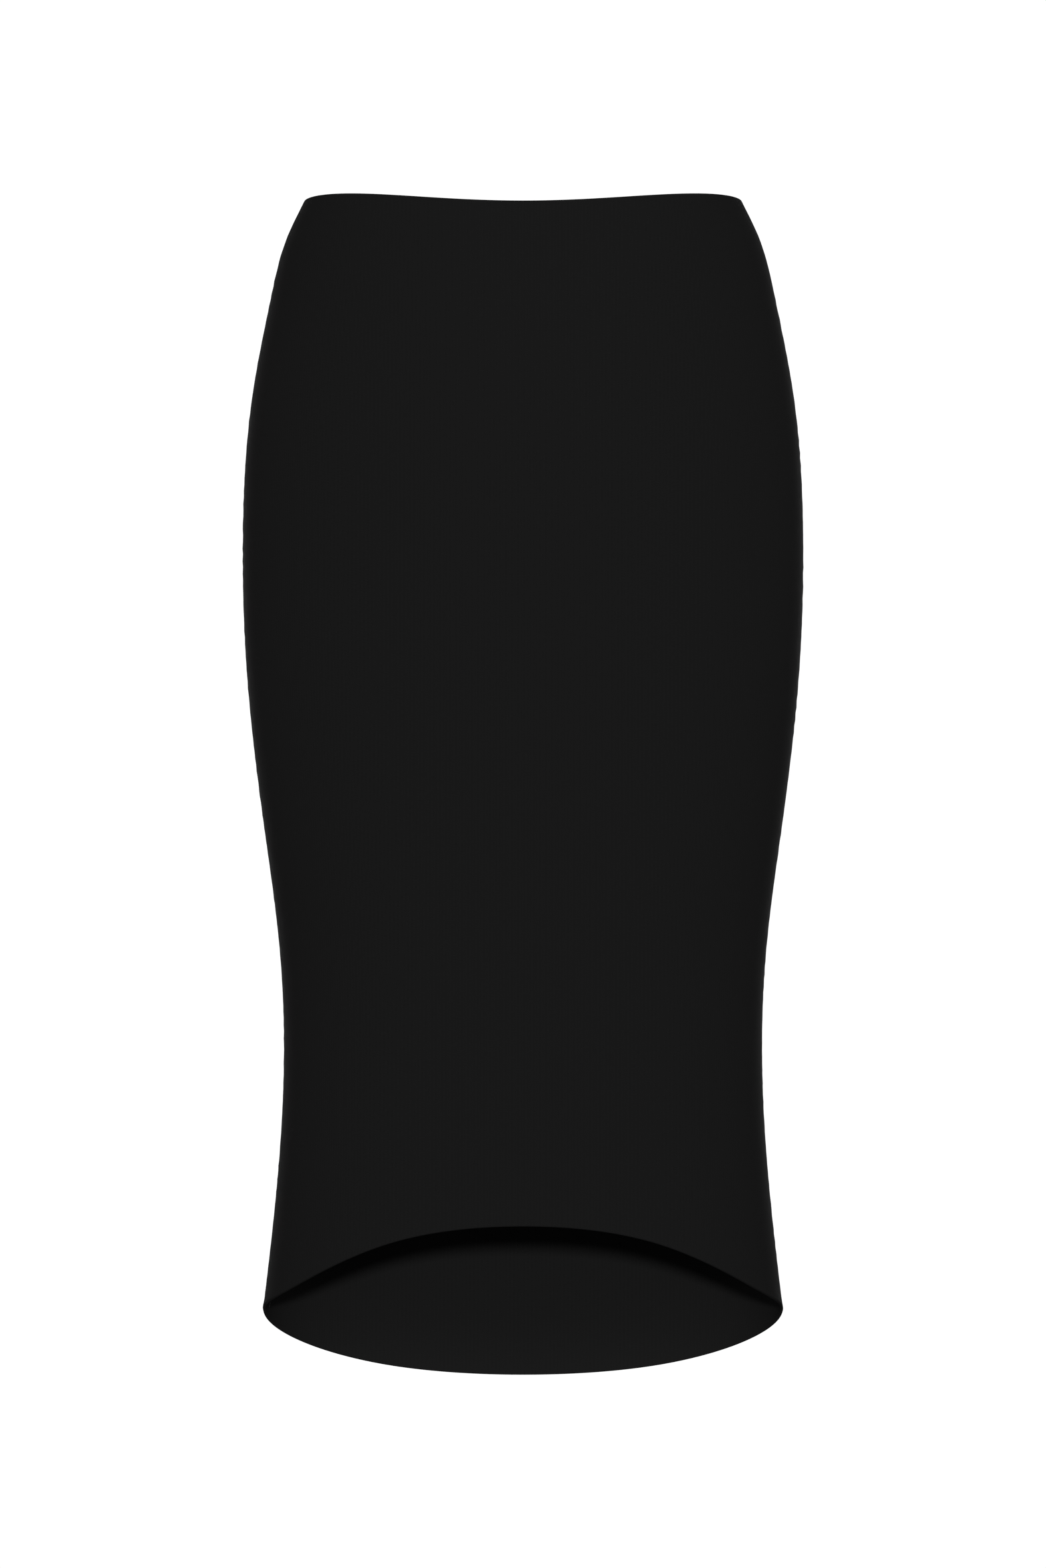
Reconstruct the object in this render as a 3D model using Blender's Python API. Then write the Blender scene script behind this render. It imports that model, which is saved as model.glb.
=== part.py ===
"""Pull-on pencil skirt in firm stretch knit, filled out as it is worn, with a hem that dips at the back.

Metres, +Z up, +X across the wearer, front towards -Y. The origin is the centre of the waist ring, where the
wearer holds the skirt up. Two cut pieces, front_panel and back_panel, meet at the side seams.
"""

import math

import bmesh
import bpy

WALL = 0.0016  # the knit with its bonded inner face
SEAM_GAP = 0.0003  # left between the two pieces along each side seam
COLUMNS = 24  # faces across one panel, side seam to side seam
ROWS = 24  # faces down one panel, waist to hem
TOP_CROWDING = 1.25  # above 1, rows are closer together near the waist, where the hip curve is strongest

# The skirt's girth at each level, as half-sections about the waist's centre line.
# squareness is the exponent of the section: 2 is an ellipse, and more has flatter front and sides.
SECTIONS = (
    # drop below waist, half width, front depth, back depth, squareness
    (0.000, 0.1371, 0.092, 0.085, 2.18),  # waist
    (0.020, 0.1473, 0.098, 0.093, 2.06),
    (0.060, 0.1585, 0.104, 0.106, 2.00),
    (0.120, 0.1699, 0.108, 0.121, 2.00),  # high hip
    (0.210, 0.1762, 0.109, 0.131, 2.00),  # fullest hip
    (0.300, 0.1734, 0.107, 0.123, 2.05),
    (0.400, 0.1618, 0.103, 0.106, 2.15),
    (0.465, 0.1534, 0.100, 0.095, 2.20),
    (0.525, 0.1503, 0.098, 0.089, 2.25),  # narrowest, just above the knee
    (0.600, 0.1532, 0.098, 0.088, 2.25),
    (0.696, 0.1634, 0.101, 0.092, 2.25),  # hem at the side seams
    (0.760, 0.1710, 0.104, 0.095, 2.25),
)

# How far the hem lies below the side waist. The turn is 0 degrees at centre front and 180 at centre back.
HEM_LINE = (
    # turn, drop
    (0.0, 0.6355),
    (30.0, 0.6468),
    (60.0, 0.6785),
    (90.0, 0.6970),
    (120.0, 0.7191),
    (150.0, 0.7416),
    (180.0, 0.7496),
)

WAIST_DIP = 0.0103  # centre front waist below the side waist
WAIST_DIP_POWER = 4  # a higher power keeps the dip nearer to the centre front

KNIT_BLACK = (0.0091, 0.0091, 0.0091, 1.0)
KNIT_ROUGHNESS = 0.85
SHARP_ANGLE = math.radians(40)  # the cut edges stay crisp, and the cloth between them is smooth


def clear_scene():
    for obj in list(bpy.data.objects):
        bpy.data.objects.remove(obj, do_unlink=True)


def smooth_value(table, column, key, level_ends=False):
    """The column's value at key in the table's first column, on a smooth curve through the rows."""
    last = len(table) - 1
    key = min(max(key, table[0][0]), table[last][0])
    low = max(i for i in range(last) if table[i][0] <= key)

    def rise(i):
        return (table[i + 1][column] - table[i][column]) / (table[i + 1][0] - table[i][0])

    def slope(i):
        if i in (0, last):
            return 0.0 if level_ends else rise(min(i, last - 1))
        before = table[i][0] - table[i - 1][0]
        after = table[i + 1][0] - table[i][0]
        return (rise(i - 1) * after + rise(i) * before) / (before + after)

    span = table[low + 1][0] - table[low][0]
    t = (key - table[low][0]) / span
    return (
        (2 * t**3 - 3 * t**2 + 1) * table[low][column]
        + (t**3 - 2 * t**2 + t) * span * slope(low)
        + (3 * t**2 - 2 * t**3) * table[low + 1][column]
        + (t**3 - t**2) * span * slope(low + 1)
    )


def waist_drop(turn):
    """How far the waist edge lies below the side waist, at a turn in radians."""
    return WAIST_DIP * max(math.cos(turn), 0.0) ** WAIST_DIP_POWER


def hem_drop(turn):
    """How far the hem lies below the side waist; both sides of the skirt are alike."""
    return smooth_value(HEM_LINE, 1, math.degrees(math.acos(math.cos(turn))), level_ends=True)


def wall_points(turn, drop, facing):
    """The outer and inner point of the cloth, on the front (facing -1) or the back (facing 1)."""
    half_width = smooth_value(SECTIONS, 1, drop)
    depth = smooth_value(SECTIONS, 2 if facing < 0 else 3, drop) - SEAM_GAP / 2
    squareness = smooth_value(SECTIONS, 4, drop)
    sine = math.sin(turn)
    cosine = abs(math.cos(turn))
    reach = (abs(sine) ** squareness + cosine**squareness) ** (-1 / squareness)
    x = half_width * reach * sine
    y = depth * reach * cosine
    # The section's gradient points straight out of the cloth.
    out_x = math.copysign(abs(reach * sine) ** (squareness - 1), sine) / half_width
    out_y = (reach * cosine) ** (squareness - 1) / depth
    inset = WALL / math.hypot(out_x, out_y)
    outer = (x, facing * (y + SEAM_GAP / 2), -drop)
    inner = (x - inset * out_x, facing * (y - inset * out_y + SEAM_GAP / 2), -drop)
    return outer, inner


def knit_material(name):
    material = bpy.data.materials.new(name)
    material.use_nodes = True
    shader = material.node_tree.nodes["Principled BSDF"]
    shader.inputs["Base Color"].default_value = KNIT_BLACK
    shader.inputs["Roughness"].default_value = KNIT_ROUGHNESS
    shader.inputs["Metallic"].default_value = 0.0
    return material


def panel(name, middle_turn, facing):
    """One cut piece: a grid of outer points and one of inner points, closed along its four edges."""
    cloth = bmesh.new()
    outer = []
    inner = []
    for row in range(ROWS + 1):
        down = (row / ROWS) ** TOP_CROWDING
        pairs = []
        for column in range(COLUMNS + 1):
            turn = middle_turn + math.pi * (column / COLUMNS - 0.5)
            top = waist_drop(turn)
            drop = top + (hem_drop(turn) - top) * down
            pairs.append(wall_points(turn, drop, facing))
        outer.append([cloth.verts.new(pair[0]) for pair in pairs])
        inner.append([cloth.verts.new(pair[1]) for pair in pairs])

    def strip(a, b):
        for i in range(len(a) - 1):
            cloth.faces.new((a[i], a[i + 1], b[i + 1], b[i]))

    for row in range(ROWS):
        strip(outer[row], outer[row + 1])
        strip(inner[row + 1], inner[row])
    strip(inner[0], outer[0])
    strip(outer[ROWS], inner[ROWS])
    for column in (0, COLUMNS):
        strip([row[column] for row in outer], [row[column] for row in inner])
    bmesh.ops.recalc_face_normals(cloth, faces=cloth.faces)

    mesh = bpy.data.meshes.new(name)
    cloth.to_mesh(mesh)
    cloth.free()
    mesh.shade_smooth()
    mesh.set_sharp_from_angle(angle=SHARP_ANGLE)
    mesh.materials.append(knit_material(name))
    bpy.context.scene.collection.objects.link(bpy.data.objects.new(name, mesh))


clear_scene()
panel("front_panel", 0.0, -1)
panel("back_panel", math.pi, 1)
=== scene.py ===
import math

import bpy
import numpy as np
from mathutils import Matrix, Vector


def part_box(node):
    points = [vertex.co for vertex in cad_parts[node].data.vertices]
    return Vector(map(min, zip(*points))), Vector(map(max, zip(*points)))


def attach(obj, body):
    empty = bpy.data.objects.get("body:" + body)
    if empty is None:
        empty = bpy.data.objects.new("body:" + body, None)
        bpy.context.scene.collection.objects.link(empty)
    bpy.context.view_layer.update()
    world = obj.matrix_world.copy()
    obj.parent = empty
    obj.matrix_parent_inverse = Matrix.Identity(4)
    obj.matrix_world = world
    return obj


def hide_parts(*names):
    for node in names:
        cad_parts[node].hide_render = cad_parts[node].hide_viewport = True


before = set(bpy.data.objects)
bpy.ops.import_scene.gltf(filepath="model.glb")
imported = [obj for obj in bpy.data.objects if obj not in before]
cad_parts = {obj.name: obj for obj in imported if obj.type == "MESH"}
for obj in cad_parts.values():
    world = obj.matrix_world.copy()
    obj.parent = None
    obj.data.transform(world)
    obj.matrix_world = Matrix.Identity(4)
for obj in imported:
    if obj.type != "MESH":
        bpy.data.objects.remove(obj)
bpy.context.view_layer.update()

# the model gives the sizes that everything below is worked out from
lowCorner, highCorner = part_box("back_panel")
hipHalfWidth = highCorner.x
seatDepth = highCorner.y
skirtLength = -lowCorner.z  # side waist to the lowest point of the back hem
tummyDepth = -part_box("front_panel")[0].y
print(f"model loaded: {skirtLength * 1000:.0f} mm long, {hipHalfWidth * 2000:.0f} mm across the hips")

quarterTurn = math.pi / 2
fullTurn = 2 * math.pi


def setInputs(tree, node, inputs):
    # a socket's name or number, and a value or the output to link to it
    for socket, value in inputs.items():
        if isinstance(value, bpy.types.NodeSocket):
            tree.links.new(value, node.inputs[socket])
        else:
            node.inputs[socket].default_value = value


def addNode(tree, kind, inputs=None, **settings):
    node = tree.nodes.new(kind)
    for name, value in settings.items():
        setattr(node, name, value)
    setInputs(tree, node, inputs or {})
    return node


def addTypedNode(tree, kind, dataType, inputs):
    # a node with sockets for every data type, of which only one type's are enabled; gives its output
    node = addNode(tree, kind, data_type=dataType)
    enabled = {socket.name: socket for socket in node.inputs if socket.enabled}
    for name, value in inputs.items():
        tree.links.new(value, enabled[name])
    return next(socket for socket in node.outputs if socket.enabled)


def addSockets(tree, inOut, kinds):
    for name, kind in kinds.items():
        tree.interface.new_socket(name=name, in_out=inOut, socket_type="NodeSocket" + kind)


def addMaterial(name):
    material = bpy.data.materials.new(name)
    material.use_nodes = True
    return material


def addObject(name, data):
    obj = bpy.data.objects.new(name, data)
    bpy.context.scene.collection.objects.link(obj)
    return obj


def grey(value):
    return (value, value, value, 1)


cameraSetup = {
    "distance": 3.0,  # from the side seams
    "level": 0.4885,  # how far the lens is below the waist, as a share of the skirt's length
    "skirtShare": 0.7595,  # how much of the view's height the skirt's length fills
    "sensor": 36.0,  # mm, along the view's long side
}


def addCamera(setup):
    lens = bpy.data.cameras.new("front_camera")
    lens.sensor_width = setup["sensor"]
    lens.lens = setup["sensor"] * setup["distance"] * setup["skirtShare"] / skirtLength
    camera = addObject("front_camera", lens)
    camera.location = (0, -setup["distance"], -setup["level"] * skirtLength)
    camera.rotation_euler = (quarterTurn, 0, 0)
    bpy.context.scene.camera = camera


worldSetup = {"shownWhite": 1.02, "fill": 0.13}


def addWorld(setup):
    # white behind the skirt, and only a little light from it
    world = bpy.data.worlds.new("white studio")
    world.use_nodes = True
    tree = world.node_tree
    tree.nodes.clear()
    seen = addNode(tree, "ShaderNodeLightPath").outputs["Is Camera Ray"]
    fill = addNode(tree, "ShaderNodeBackground", {"Color": grey(1), "Strength": setup["fill"]})
    shown = addNode(tree, "ShaderNodeBackground", {"Color": grey(1), "Strength": setup["shownWhite"]})
    mix = addNode(tree, "ShaderNodeMixShader", {0: seen, 1: fill.outputs[0], 2: shown.outputs[0]})
    addNode(tree, "ShaderNodeOutputWorld", {"Surface": mix.outputs[0]})
    bpy.context.scene.world = world


floorSetup = {
    "below": 1.08,  # waist to floor on someone standing
    "halfSize": 14.0,
    "paint": 0.25,
    "glow": 1.02,  # as the lens sees the lit paper
}


def addFloor(setup):
    size, height = setup["halfSize"], -setup["below"]
    mesh = bpy.data.meshes.new("studio_floor")
    corners = [(-size, -size, height), (size, -size, height), (size, size, height), (-size, size, height)]
    mesh.from_pydata(corners, [], [(0, 1, 2, 3)])
    addObject("studio_floor", mesh)

    paper = addMaterial("pale paper")
    tree = paper.node_tree
    tree.nodes.clear()
    seen = addNode(tree, "ShaderNodeLightPath").outputs["Is Camera Ray"]
    below = addNode(tree, "ShaderNodeNewGeometry").outputs["Backfacing"]
    diffuse = addNode(tree, "ShaderNodeBsdfDiffuse", {"Color": grey(setup["paint"])})
    glow = addNode(tree, "ShaderNodeEmission", {"Strength": setup["glow"]})
    lit = addNode(tree, "ShaderNodeMixShader", {0: seen, 1: diffuse.outputs[0], 2: glow.outputs[0]})
    clear = addNode(tree, "ShaderNodeBsdfTransparent")  # from below, the paper isn't in the way
    oneSided = addNode(tree, "ShaderNodeMixShader", {0: below, 1: lit.outputs[0], 2: clear.outputs[0]})
    addNode(tree, "ShaderNodeOutputMaterial", {"Surface": oneSided.outputs[0]})
    mesh.materials.append(paper)


studioLights = {
    # azimuths go from the front towards +X
    # a sun's size is its angle in degrees, and a softbox's is the length of its side
    "front key": {"kind": "SUN", "azimuth": 0, "elevation": 9.5, "size": 3.4, "power": 2.26},
    "front right softbox": {"kind": "AREA", "azimuth": 50, "elevation": 7, "size": 0.5, "power": 9.5},
    "front left softbox": {"kind": "AREA", "azimuth": -50, "elevation": 7, "size": 0.5, "power": 10.5},
    "right softbox": {"kind": "AREA", "azimuth": 100, "elevation": 8, "size": 1.0, "power": 8.0},
    "left softbox": {"kind": "AREA", "azimuth": -100, "elevation": 8, "size": 1.0, "power": 9.5},
    "upper softbox": {"kind": "AREA", "azimuth": 24, "elevation": 46, "size": 1.2, "power": 8.5},
    "back right softbox": {"kind": "AREA", "azimuth": 160, "elevation": 5, "size": 1.2, "power": 25.0},
    "back left softbox": {"kind": "AREA", "azimuth": -160, "elevation": 5, "size": 1.2, "power": 25.0},
    "high back softbox": {"kind": "AREA", "azimuth": 180, "elevation": 50, "size": 1.2, "power": 7.0},
}
lightDistance = 2.5  # from the middle of the skirt
lightAim = (0, 0, -skirtLength / 2)


def addLight(name, setup):
    light = bpy.data.lights.new(name, setup["kind"])
    light.energy = setup["power"]
    if setup["kind"] == "SUN":
        light.angle = math.radians(setup["size"])
    else:
        light.size = setup["size"]
    azimuth, elevation = math.radians(setup["azimuth"]), math.radians(setup["elevation"])
    level = math.cos(elevation)
    towards = (math.sin(azimuth) * level, -math.cos(azimuth) * level, math.sin(elevation))
    lamp = addObject(name, light)
    lamp.location = [aim + lightDistance * part for aim, part in zip(lightAim, towards)]
    lamp.rotation_euler = (quarterTurn - elevation, 0, azimuth)
    lamp.visible_camera = False


addCamera(cameraSetup)
addWorld(worldSetup)
addFloor(floorSetup)
for lightName, lightSetup in studioLights.items():
    addLight(lightName, lightSetup)
bpy.context.scene.view_settings.view_transform = "Standard"
print("camera, floor and lights are up")


def mathNode(tree, operation, *values):
    return addNode(tree, "ShaderNodeMath", dict(enumerate(values)), operation=operation).outputs[0]


loopMake = {
    "hollow": 0.45,  # how far the yarn falls away between two loops, as a share of a wale's height
    "unevenScale": 900.0,  # of the noise that makes the yarn uneven, per metre
    "unevenDetail": 3.0,
    "polish": 0.3,  # how much smoother the proud yarns are
}


def knitGroup(make):
    # columns of V-shaped loops, in metres of cloth, with painted shade in the hollows between them
    tree = bpy.data.node_groups.new("fine double knit", "ShaderNodeTree")
    addSockets(tree, "INPUT", {
        "Cloth": "Vector", "Yarn": "Color", "Groove Shade": "Color", "Wale Width": "Float",
        "Course Height": "Float", "Unevenness": "Float", "Roughness": "Float",
    })
    addSockets(tree, "OUTPUT", {"Color": "Color", "Roughness": "Float", "Height": "Float"})
    given = tree.nodes.new("NodeGroupInput").outputs

    place = addNode(tree, "ShaderNodeSeparateXYZ", {0: given["Cloth"]}).outputs
    across = mathNode(tree, "DIVIDE", place["X"], given["Wale Width"])
    down = mathNode(tree, "DIVIDE", place["Y"], given["Course Height"])
    inWale = mathNode(tree, "PINGPONG", across, 0.5)  # 0 in the groove between two wales, 0.5 on the rib
    rib = mathNode(tree, "SINE", mathNode(tree, "MULTIPLY", inWale, math.pi))
    slanted = mathNode(tree, "SUBTRACT", down, inWale)  # the loops' two legs lean towards each other
    inCourse = mathNode(tree, "PINGPONG", slanted, 0.5)
    leg = mathNode(tree, "SINE", mathNode(tree, "MULTIPLY", inCourse, math.pi))
    height = mathNode(tree, "MULTIPLY_ADD", leg, make["hollow"], 1 - make["hollow"])
    loop = mathNode(tree, "MULTIPLY", rib, height)

    noise = addNode(tree, "ShaderNodeTexNoise", {
        "Vector": given["Cloth"], "Scale": make["unevenScale"], "Detail": make["unevenDetail"],
    })
    centred = mathNode(tree, "SUBTRACT", noise.outputs[0], 0.5)
    wander = mathNode(tree, "MULTIPLY", centred, given["Unevenness"])
    polish = mathNode(tree, "MULTIPLY", wander, make["polish"])
    # the colour goes from the yarn's to the darker groove colour where the loops fall away: painted shade in
    # the hollows between loops
    shades = {"Factor": loop, "A": given["Groove Shade"], "B": given["Yarn"]}
    addNode(tree, "NodeGroupOutput", {
        "Color": addTypedNode(tree, "ShaderNodeMix", "RGBA", shades),
        "Roughness": mathNode(tree, "SUBTRACT", given["Roughness"], polish),
        "Height": mathNode(tree, "ADD", loop, wander),
    })
    return tree


# yarn is the knit's own colour; groove is the same yarn darkened by painted shade, for the hollows between
# loops
knitFinishes = {
    "black knit face": {
        "yarn": 0.0096, "grooveShade": 0.0064, "waleWidth": 0.0009, "courseHeight": 0.0007, "unevenness": 0.25,
        "roughness": 0.88, "relief": 0.00004, "specular": 0.01, "sheen": 0.003,
    },
    # the inside is the same black yarn painted lighter: painted light that makes up for the less light
    # reaching the inside; its rougher, more uneven knit is the cloth's reverse side
    "black knit inside painted lighter": {
        "yarn": 0.0120, "grooveShade": 0.0085, "waleWidth": 0.0009, "courseHeight": 0.0007, "unevenness": 0.30,
        "roughness": 0.90, "relief": 0.00003, "specular": 0.01, "sheen": 0.003,
    },
}


def knitMaterial(name, finish, group):
    material = addMaterial(name)
    tree = material.node_tree
    pattern = addNode(tree, "ShaderNodeGroup", {
        "Cloth": addNode(tree, "ShaderNodeUVMap", uv_map="cloth").outputs["UV"],
        "Yarn": grey(finish["yarn"]),
        "Groove Shade": grey(finish["grooveShade"]),
        "Wale Width": finish["waleWidth"],
        "Course Height": finish["courseHeight"],
        "Unevenness": finish["unevenness"],
        "Roughness": finish["roughness"],
    }, node_tree=group).outputs
    bump = addNode(tree, "ShaderNodeBump", {"Distance": finish["relief"], "Height": pattern["Height"]})
    setInputs(tree, tree.nodes["Principled BSDF"], {
        "Base Color": pattern["Color"],
        "Roughness": pattern["Roughness"],
        "Normal": bump.outputs["Normal"],
        "Specular IOR Level": finish["specular"],
        "Sheen Weight": finish["sheen"],
    })
    return material


threadFinish = {
    "dark": 0.004, "light": 0.011, "roughness": 0.55, "specular": 0.25,
    "fibreScale": 2500.0,  # per metre
    "fibreEdges": (0.35, 0.65),  # noise values that are all dark and all light
    "relief": 0.00004,
}


def threadMaterial(name, finish):
    # spun thread, mottled by its fine fibres
    material = addMaterial(name)
    tree = material.node_tree
    place = addNode(tree, "ShaderNodeTexCoord").outputs["Object"]
    fibres = addNode(tree, "ShaderNodeTexNoise", {"Vector": place, "Scale": finish["fibreScale"]}).outputs[0]
    ramp = addNode(tree, "ShaderNodeValToRGB", {"Fac": fibres})
    for stop, position, shade in zip(ramp.color_ramp.elements, finish["fibreEdges"], ("dark", "light")):
        stop.position = position
        stop.color = grey(finish[shade])
    bump = addNode(tree, "ShaderNodeBump", {"Distance": finish["relief"], "Height": fibres})
    setInputs(tree, tree.nodes["Principled BSDF"], {
        "Base Color": ramp.outputs["Color"],
        "Roughness": finish["roughness"],
        "Normal": bump.outputs["Normal"],
        "Specular IOR Level": finish["specular"],
    })
    return material


knit = knitGroup(loopMake)
faceKnit = knitMaterial("black knit face", knitFinishes["black knit face"], knit)
# the reverse knit, painted lighter to stand in for light on the inside
insideKnitPaintedLighter = knitMaterial("black knit inside painted lighter", knitFinishes["black knit inside painted lighter"], knit)
blackThread = threadMaterial("black overlock thread", threadFinish)
print("knit and thread materials are made")


skirtCut = {
    "sections": (
        # shares: drop of the skirt's length, half width of the hips', depth of the tummy's and of the seat's
        # the last is squareness: 2 is an ellipse, and more has flatter front and sides
        (0.000, 0.778, 0.844, 0.649, 2.18),  # waist
        (0.027, 0.836, 0.899, 0.710, 2.06),
        (0.080, 0.899, 0.954, 0.809, 2.00),
        (0.160, 0.964, 0.991, 0.924, 2.00),  # high hip
        (0.280, 1.000, 1.000, 1.000, 2.00),  # fullest hip
        (0.400, 0.984, 0.982, 0.939, 2.05),
        (0.534, 0.918, 0.945, 0.809, 2.15),
        (0.620, 0.871, 0.917, 0.725, 2.20),
        (0.700, 0.853, 0.899, 0.679, 2.25),  # narrowest, just above the knee
        (0.800, 0.869, 0.899, 0.672, 2.25),
        (0.929, 0.927, 0.927, 0.702, 2.25),  # hem at the side seams
        (1.014, 0.970, 0.954, 0.725, 2.25),
    ),
    "hemLine": (
        # turn from centre front in degrees, drop as a share of the skirt's length
        (0, 0.848), (30, 0.863), (60, 0.905), (90, 0.930), (120, 0.960), (150, 0.990), (180, 1.000),
    ),
    "waistDip": 0.0138,  # centre front waist below the side waist, as a share of the length
    "waistDipPower": 4,  # more keeps the dip nearer to the centre front
}


def smoothCurve(table, column, keys, levelEnds=False):
    # cubic spline through the table's rows, with free ends or level ones
    x, y = np.array([(row[0], row[column]) for row in table], float).T
    gap, last = np.diff(x), len(x) - 1
    slope = np.diff(y) / gap
    matrix, right = np.eye(last + 1), np.zeros(last + 1)
    for i in range(1, last):
        matrix[i, i - 1 : i + 2] = gap[i - 1], 2 * (gap[i - 1] + gap[i]), gap[i]
        right[i] = 6 * (slope[i] - slope[i - 1])
    if levelEnds:
        matrix[0, :2], right[0] = (2 * gap[0], gap[0]), 6 * slope[0]
        matrix[last, -2:], right[last] = (gap[-1], 2 * gap[-1]), -6 * slope[-1]
    bend = np.linalg.solve(matrix, right)
    keys = np.clip(keys, x[0], x[-1])
    i = np.clip(np.searchsorted(x, keys, side="right") - 1, 0, last - 1)
    above, below = keys - x[i], x[i + 1] - keys
    return (
        (bend[i] * below**3 + bend[i + 1] * above**3) / (6 * gap[i])
        + (y[i] / gap[i] - bend[i] * gap[i] / 6) * below
        + (y[i + 1] / gap[i] - bend[i + 1] * gap[i] / 6) * above
    )


def waistDrop(turn):
    return skirtCut["waistDip"] * skirtLength * np.maximum(np.cos(turn), 0) ** skirtCut["waistDipPower"]


def hemDrop(turn):
    degrees = np.degrees(np.arccos(np.clip(np.cos(turn), -1, 1)))
    return smoothCurve(skirtCut["hemLine"], 1, degrees, levelEnds=True) * skirtLength


sideHem = float(hemDrop(np.array(quarterTurn)))  # drop of the hem at the side seams


def panelDepth(drop, facing):
    column, deepest = (2, tummyDepth) if facing < 0 else (3, seatDepth)
    return smoothCurve(skirtCut["sections"], column, drop / skirtLength) * deepest


def clothSurface(fromCentre, drop, facing):
    # points and outward normals of a grid on the front (facing -1) or the back (facing 1)
    # fromCentre is the turn from the panel's own centre line, a right angle at the side seams
    halfWidth = smoothCurve(skirtCut["sections"], 1, drop / skirtLength) * hipHalfWidth
    squareness = smoothCurve(skirtCut["sections"], 4, drop / skirtLength)
    sine, cosine = np.sin(fromCentre), np.cos(fromCentre)
    reach = (np.abs(sine) ** squareness + np.abs(cosine) ** squareness) ** (-1 / squareness)
    x = halfWidth * reach * sine
    y = facing * panelDepth(drop, facing) * reach * cosine
    points = np.stack([x, y, -drop], -1)
    normals = np.cross(np.gradient(points, axis=0), np.gradient(points, axis=1)) * -facing
    return points, normals / np.linalg.norm(normals, axis=-1, keepdims=True)


def distanceAlong(points, axis):
    steps = np.linalg.norm(np.diff(points, axis=axis), axis=-1)
    start = np.zeros_like(np.take(steps, [0], axis))
    return np.cumsum(np.concatenate([start, steps], axis), axis)


markGrowth = 1.4  # each gap between rows over the last one, away from a turned edge


def edgeMarks(thickness, step, roundSteps):
    # distances from a turned edge: close together round its fold, then wider apart up to the step
    half = thickness / 2
    marks = list(half * (1 - np.cos(np.linspace(0, quarterTurn, roundSteps + 1))))
    gap = half
    while gap < step:
        marks.append(marks[-1] + gap)
        gap *= markGrowth
    return np.array(marks)


def edgeToEdge(marks, count):
    # for each row or column, its share of the way to the other edge and the distance to add to that
    between = np.linspace(0, 1, count + 2)[1:-1]
    share = np.concatenate([np.zeros(len(marks)), between, np.ones(len(marks))])
    return share, np.concatenate([marks, marks[-1] * (1 - 2 * between), -marks[::-1]])


def roundedHalf(fromEdge, half):
    # half the thickness of a wall whose edge is a half round
    return half * np.sqrt(np.clip(1 - (1 - np.minimum(fromEdge, half) / half) ** 2, 0, 1))


def wallFaces(index, flipped):
    # a quad between each four points of the grid, but two triangles at each corner of it
    quads = np.stack([index[:-1, :-1], index[1:, :-1], index[1:, 1:], index[:-1, 1:]], -1)
    if flipped:
        quads = quads[..., ::-1]
    whole = np.ones(quads.shape[:2], bool)
    faces = []
    for row, column in ((0, 0), (0, -1), (-1, 0), (-1, -1)):
        # cut from the corner inwards, because the other way both walls would share the cut
        whole[row, column] = False
        quad = quads[row, column].tolist()
        first = quad.index(index[row, column])
        corner, after, opposite, before = quad[first:] + quad[:first]
        faces += [(corner, after, opposite), (corner, opposite, before)]
    return faces + quads[whole].tolist()


def makeShell(name, outer, inner, cloth, facing, materials):
    # a closed wall: two grids of points that meet along all four edges
    rows, columns = outer.shape[:2]
    outerIndex = np.arange(rows * columns).reshape(rows, columns)
    within = np.zeros((rows, columns), bool)
    within[1:-1, 1:-1] = True
    innerIndex = outerIndex.copy()
    innerIndex[within] = rows * columns + np.arange(within.sum())
    outerFaces, innerFaces = wallFaces(outerIndex, facing > 0), wallFaces(innerIndex, facing < 0)
    mesh = bpy.data.meshes.new(name)
    points = np.concatenate([outer.reshape(-1, 3), inner[within]])
    mesh.from_pydata(points.tolist(), [], outerFaces + innerFaces)

    corners = np.empty(len(mesh.loops), int)
    mesh.loops.foreach_get("vertex_index", corners)
    uv = np.concatenate([cloth.reshape(-1, 2), cloth[within]])
    mesh.uv_layers.new(name="cloth").data.foreach_set("uv", uv[corners].ravel())
    for material in materials:
        mesh.materials.append(material)
    mesh.polygons.foreach_set("material_index", np.repeat([0, 1], [len(outerFaces), len(innerFaces)]))
    mesh.shade_smooth()
    mesh.update()
    return addObject(name, mesh)


panelMake = {
    "thickness": 0.0016,
    "step": 0.0045,  # between rows and between columns
    "roundSteps": 6,  # rows of faces from a fold to the full thickness
    "seamOverlap": 0.00015,  # each panel goes this far past the seam, so that it is closed
    "turnedEdge": 0.00025,  # how far the turned waist and hem edges stand proud
    "turnedEdgeReach": 0.006,
    "pucker": 0.00024,  # how far the cloth rises between the seam's stitches
    "puckerReach": 0.007,
    "puckerSpacing": 0.0105,
    "puckerDrift": 1.9,  # radians that the spacing wanders by
    "driftLength": 5.3,  # puckers to one wave of that
    "puckerFade": 0.7,  # share of the height that the lowest puckers lose
    "fadeLength": 7.7,  # puckers to one wave of that
}


def seamPucker(drop, fromSeam, side, make):
    # small swells down the side seam, unevenly spaced and unevenly high
    along = drop / make["puckerSpacing"] * fullTurn
    swell = np.sin(along + make["puckerDrift"] * np.sin(along / make["driftLength"] + side) + side)
    fade = make["puckerFade"] * (1 - np.sin(along / make["fadeLength"] + 2 * side)) / 2
    return make["pucker"] * swell * (1 - fade) * np.exp(-((fromSeam / make["puckerReach"]) ** 2))


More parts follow.
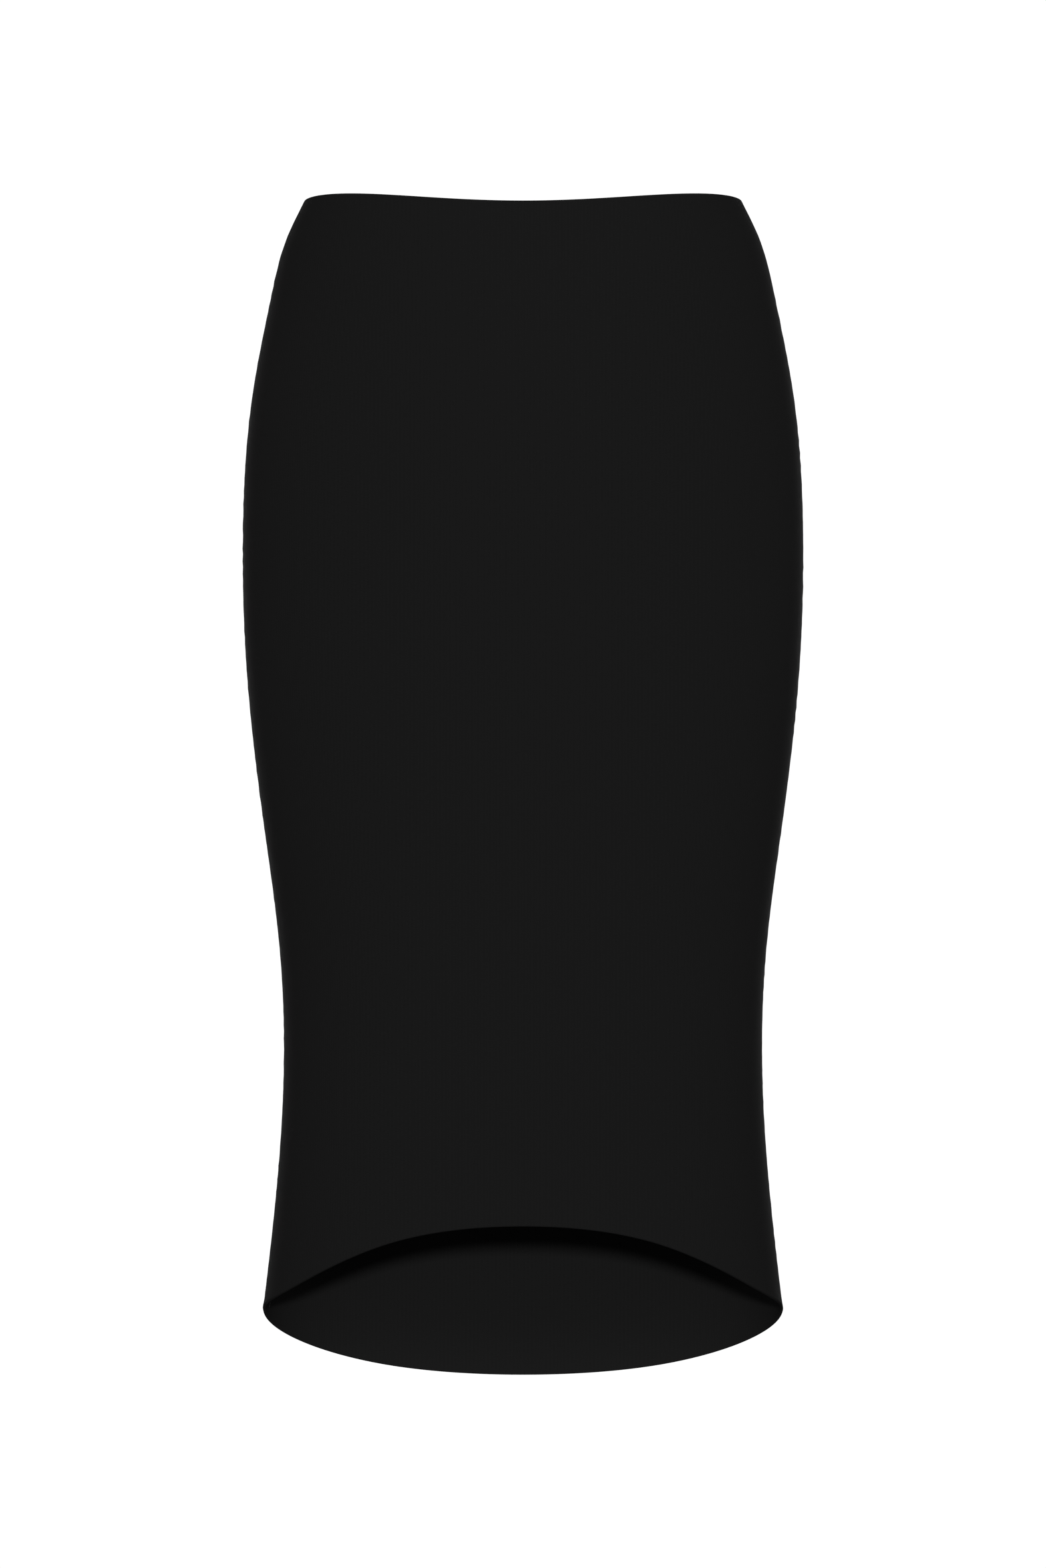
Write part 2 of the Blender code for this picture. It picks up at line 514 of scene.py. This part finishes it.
def panelGrid(facing, make):
    # each point's turn from the panel's centre line, at its row's own depth, and its drop, at its own turn
    marks = edgeMarks(make["thickness"], make["step"], make["roundSteps"])
    hipWidth = math.pi * math.hypot(hipHalfWidth, tummyDepth) / math.sqrt(2)  # side seam to side seam
    rowShare, rowExtra = edgeToEdge(marks, int(skirtLength / make["step"]))
    columnShare, columnExtra = edgeToEdge(marks - make["seamOverlap"], int(hipWidth / make["step"]))
    sideDrop = rowShare * sideHem + rowExtra
    fromCentre = math.pi * (columnShare - 0.5) + columnExtra / panelDepth(sideDrop, facing)[:, None]
    turn = fromCentre if facing < 0 else math.pi - fromCentre
    top, bottom = waistDrop(turn), hemDrop(turn)
    return fromCentre, top + (bottom - top) * rowShare[:, None] + rowExtra[:, None]


def makePanel(name, facing, make):
    half = make["thickness"] / 2
    fromCentre, drop = panelGrid(facing, make)
    face, normals = clothSurface(fromCentre, drop, facing)
    across, down = distanceAlong(face, 1), distanceAlong(face, 0)
    fromSeam = np.minimum(across, across[:, -1:] - across)
    fromHem = np.minimum(down, down[-1:] - down)
    turned = make["turnedEdge"] * np.exp(-((fromHem / make["turnedEdgeReach"]) ** 2))
    pucker = seamPucker(drop, fromSeam, np.sign(face[..., 0]), make)
    wall = np.minimum(roundedHalf(fromSeam, half), roundedHalf(fromHem, half))
    middle = face + normals * (pucker - half)[..., None]
    outer = middle + normals * (wall * (1 + turned / half))[..., None]
    inner = middle - normals * wall[..., None]

    width, length = float(across.max()), float(down.max())
    across = across - across[:, -1:] / 2  # the knit's columns run down from the panel's centre line
    panel = makeShell(name, outer, inner, np.stack([across, -down], -1), facing, (faceKnit, insideKnitPaintedLighter))
    rows, columns = drop.shape
    print(f"{name}: {rows} x {columns} points, cut {width * 1000:.0f} x {length * 1000:.0f} mm")
    return panel, (width, length)


allowanceMake = {
    "width": 0.007,
    "fromSeam": -0.0004,  # they start a little past it, on the front's side
    "thickness": 0.0019,  # both panels' edges, pressed together by the overlock stitches
    "bedded": 0.00008,  # how far they sink into the panel behind them
    "fromEdges": 0.004,  # where they end below the waist and above the hem
    "step": 0.0035,  # between rows
    "columns": 3,  # besides the ones round its edges
    "roundSteps": 4,
    "wave": 0.00035,  # how far the free edge lifts off the panel
    "waveSpacing": 0.043,
    "waveDrift": 2.0,  # radians that the spacing wanders by
    "driftSpacing": 0.565,
}


def allowanceGrid(side, make):
    # centre surface of the allowance, on the inside of the back panel, from the seam to its free edge
    half = make["thickness"] / 2
    marks = edgeMarks(make["thickness"], make["width"] / (2 * make["columns"]), make["roundSteps"])
    rowShare, rowExtra = edgeToEdge(marks, int(sideHem / make["step"]))
    columnShare, columnExtra = edgeToEdge(marks, make["columns"])
    drop = make["fromEdges"] + (sideHem - 2 * make["fromEdges"]) * rowShare + rowExtra
    fromSeam = make["fromSeam"] + make["width"] * columnShare + columnExtra
    fromCentre = side * (quarterTurn - fromSeam / panelDepth(drop, 1)[:, None])
    drop = np.broadcast_to(drop[:, None], fromCentre.shape)
    points, normals = clothSurface(fromCentre, drop, 1)
    normals = normals * -side  # the grid runs the other way across on the +X side

    drift = make["waveDrift"] * np.sin(drop / make["driftSpacing"] * fullTurn + side)
    wave = make["wave"] * (1 + np.sin(drop / make["waveSpacing"] * fullTurn + drift)) / 2
    lifted = wave * (columnShare + columnExtra / make["width"]) ** 2  # none at the seam
    depth = panelMake["thickness"] + half - make["bedded"] + lifted
    return points - normals * depth[..., None], normals


seamSides = {"left": -1, "right": 1}  # as seen from the front


def makeAllowance(name, side, make):
    middle, normals = allowanceGrid(side, make)
    half = make["thickness"] / 2
    across, down = distanceAlong(middle, 1), distanceAlong(middle, 0)
    fromEdge = np.minimum(np.minimum(across, across[:, -1:] - across), np.minimum(down, down[-1:] - down))
    wall = roundedHalf(fromEdge, half)[..., None]
    cloth = np.stack([across, -down], -1)
    outer, inner = middle + normals * wall, middle - normals * wall
    return makeShell(name, outer, inner, cloth, -side, (insideKnitPaintedLighter, insideKnitPaintedLighter))


overlockMake = {
    "stitchLength": 0.0027,
    "threadRadius": 0.00015,
    "unevenness": 0.09,  # radians that a stitch leans, and the share that it grows or shrinks
    "seed": 7,
    "curvePoints": 7,  # along each leg
    "sides": 6,  # round the thread
    "bareRows": 3,  # of the allowance at each end, without stitches
    "legs": (
        # each thread's start, two handles and end: shares of the stitch's length, the allowance's width and
        # half its thickness, from the middle of the allowance with its free edge at 0.5
        ((0.00, -0.28, 1.12), (0.12, 0.20, 1.40), (0.42, 0.57, 1.75), (0.50, 0.54, -0.10)),
        ((0.50, 0.54, -0.10), (0.58, 0.57, 1.75), (0.88, 0.20, 1.40), (1.00, -0.28, 1.12)),
        ((0.06, -0.28, 1.00), (0.30, -0.28, 1.45), (0.70, -0.28, 1.45), (0.94, -0.28, 1.00)),
    ),
}


def overlockTree(make):
    # threads over the allowance's free edge, one stitch after the other down the line that it is given
    tree = bpy.data.node_groups.new("overlock stitches", "GeometryNodeTree")
    addSockets(tree, "INPUT", {
        "Line": "Geometry", "Stitch Length": "Float", "Stitch Width": "Float", "Half Thickness": "Float",
        "Thread Radius": "Float", "Unevenness": "Float", "Seed": "Int", "Thread": "Material",
    })
    addSockets(tree, "OUTPUT", {"Stitches": "Geometry"})
    given = tree.nodes.new("NodeGroupInput").outputs

    sizes = addNode(tree, "ShaderNodeCombineXYZ", {
        "X": given["Stitch Length"], "Y": given["Stitch Width"], "Z": given["Half Thickness"],
    }).outputs[0]
    stitch = addNode(tree, "GeometryNodeJoinGeometry")
    for leg in make["legs"]:
        curve = addNode(tree, "GeometryNodeCurvePrimitiveBezierSegment", {"Resolution": make["curvePoints"]})
        for socket, shares in zip(("Start", "Start Handle", "End Handle", "End"), leg):
            point = addNode(tree, "ShaderNodeVectorMath", {0: sizes, 1: shares}, operation="MULTIPLY")
            tree.links.new(point.outputs[0], curve.inputs[socket])
        tree.links.new(curve.outputs[0], stitch.inputs[0])
    section = addNode(tree, "GeometryNodeCurvePrimitiveCircle", {
        "Resolution": make["sides"], "Radius": given["Thread Radius"],
    })
    thread = addNode(tree, "GeometryNodeCurveToMesh", {
        "Curve": stitch.outputs[0], "Profile Curve": section.outputs[0], "Fill Caps": True,
    })

    line = addNode(tree, "GeometryNodeMeshToCurve", {0: given["Line"]})
    spaced = addNode(tree, "GeometryNodeResampleCurve", {
        "Curve": line.outputs[0], "Length": given["Stitch Length"],
    }, mode="LENGTH")
    inward, across = (
        addNode(tree, "GeometryNodeInputNamedAttribute", {"Name": name}, data_type="FLOAT_VECTOR").outputs[0]
        for name in ("inward", "across")
    )
    upright = addNode(tree, "FunctionNodeAlignRotationToVector", {"Vector": inward}, axis="Z")
    facing = addNode(tree, "FunctionNodeAlignRotationToVector", {
        "Rotation": upright.outputs[0], "Vector": across,
    }, axis="Y", pivot_axis="Z")
    placed = addNode(tree, "GeometryNodeInstanceOnPoints", {
        "Points": spaced.outputs[0], "Instance": thread.outputs[0], "Rotation": facing.outputs[0],
    })
    least = mathNode(tree, "MULTIPLY", given["Unevenness"], -1.0)
    spread = {"Min": least, "Max": given["Unevenness"], "Seed": given["Seed"]}
    turn = addNode(tree, "ShaderNodeCombineXYZ", {
        "Z": addTypedNode(tree, "FunctionNodeRandomValue", "FLOAT", spread),
    })
    leaning = addNode(tree, "GeometryNodeRotateInstances", {
        "Instances": placed.outputs[0], "Rotation": turn.outputs[0], "Local Space": True,
    })
    spread["Seed"] = mathNode(tree, "ADD", given["Seed"], 1.0)
    growth = addTypedNode(tree, "FunctionNodeRandomValue", "FLOAT", spread)
    size = mathNode(tree, "ADD", growth, 1.0)
    uneven = addNode(tree, "GeometryNodeScaleInstances", {
        "Instances": leaning.outputs[0], "Scale": size, "Local Space": True,
    })
    realized = addNode(tree, "GeometryNodeRealizeInstances", {0: uneven.outputs[0]})
    finished = addNode(tree, "GeometryNodeSetMaterial", {
        "Geometry": realized.outputs[0], "Material": given["Thread"],
    })
    addNode(tree, "NodeGroupOutput", {0: finished.outputs[0]})
    return tree


def makeOverlock(name, side, make, tree):
    # stitches along the middle line of the allowance, whose points say which way they face
    middle, normals = allowanceGrid(side, allowanceMake)
    centre, bare = middle.shape[1] // 2, make["bareRows"]
    line = middle[bare:-bare, centre]
    towardsEdge = (middle[:, centre + 1] - middle[:, centre - 1])[bare:-bare]
    mesh = bpy.data.meshes.new(name)
    mesh.from_pydata(line.tolist(), [(i, i + 1) for i in range(len(line) - 1)], [])
    for attribute, vectors in (("inward", -normals[bare:-bare, centre]), ("across", towardsEdge)):
        mesh.attributes.new(attribute, "FLOAT_VECTOR", "POINT").data.foreach_set("vector", vectors.ravel())
    stitches = addObject(name, mesh)

    modifier = stitches.modifiers.new("overlock", "NODES")
    modifier.node_group = tree
    sockets = {item.name: item.identifier for item in tree.interface.items_tree if item.in_out == "INPUT"}
    sizes = {
        "Stitch Length": make["stitchLength"],
        "Stitch Width": allowanceMake["width"],
        "Half Thickness": allowanceMake["thickness"] / 2,
        "Thread Radius": make["threadRadius"],
        "Unevenness": make["unevenness"],
        "Seed": make["seed"] + side,
        "Thread": blackThread,
    }
    for socket, value in sizes.items():
        modifier[sockets[socket]] = value
    graph = bpy.context.evaluated_depsgraph_get()
    sewn = bpy.data.meshes.new_from_object(stitches.evaluated_get(graph), depsgraph=graph)
    stitches.modifiers.clear()
    stitches.data = sewn
    sewn.shade_smooth()
    print(f"{name}: {len(sewn.polygons)} faces")
    return stitches


seamPieces = []
overlock = overlockTree(overlockMake)
for sideName, side in seamSides.items():
    allowance = makeAllowance(f"{sideName}_seam_allowance", side, allowanceMake)
    stitches = makeOverlock(f"{sideName}_seam_overlock", side, overlockMake, overlock)
    seamPieces += [allowance, stitches]
for piece in seamPieces:
    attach(piece, "root")
print("side seams are sewn")

panelPlan = (
    # piece, the model's node, which way it faces, what is sewn to it
    ("skirt_front", "front_panel", -1, []),
    ("skirt_back", "back_panel", 1, seamPieces),
)
for name, node, facing, sewnOn in panelPlan:
    panel, flat = makePanel(name, facing, panelMake)
    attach(panel, "root")
    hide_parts(node)
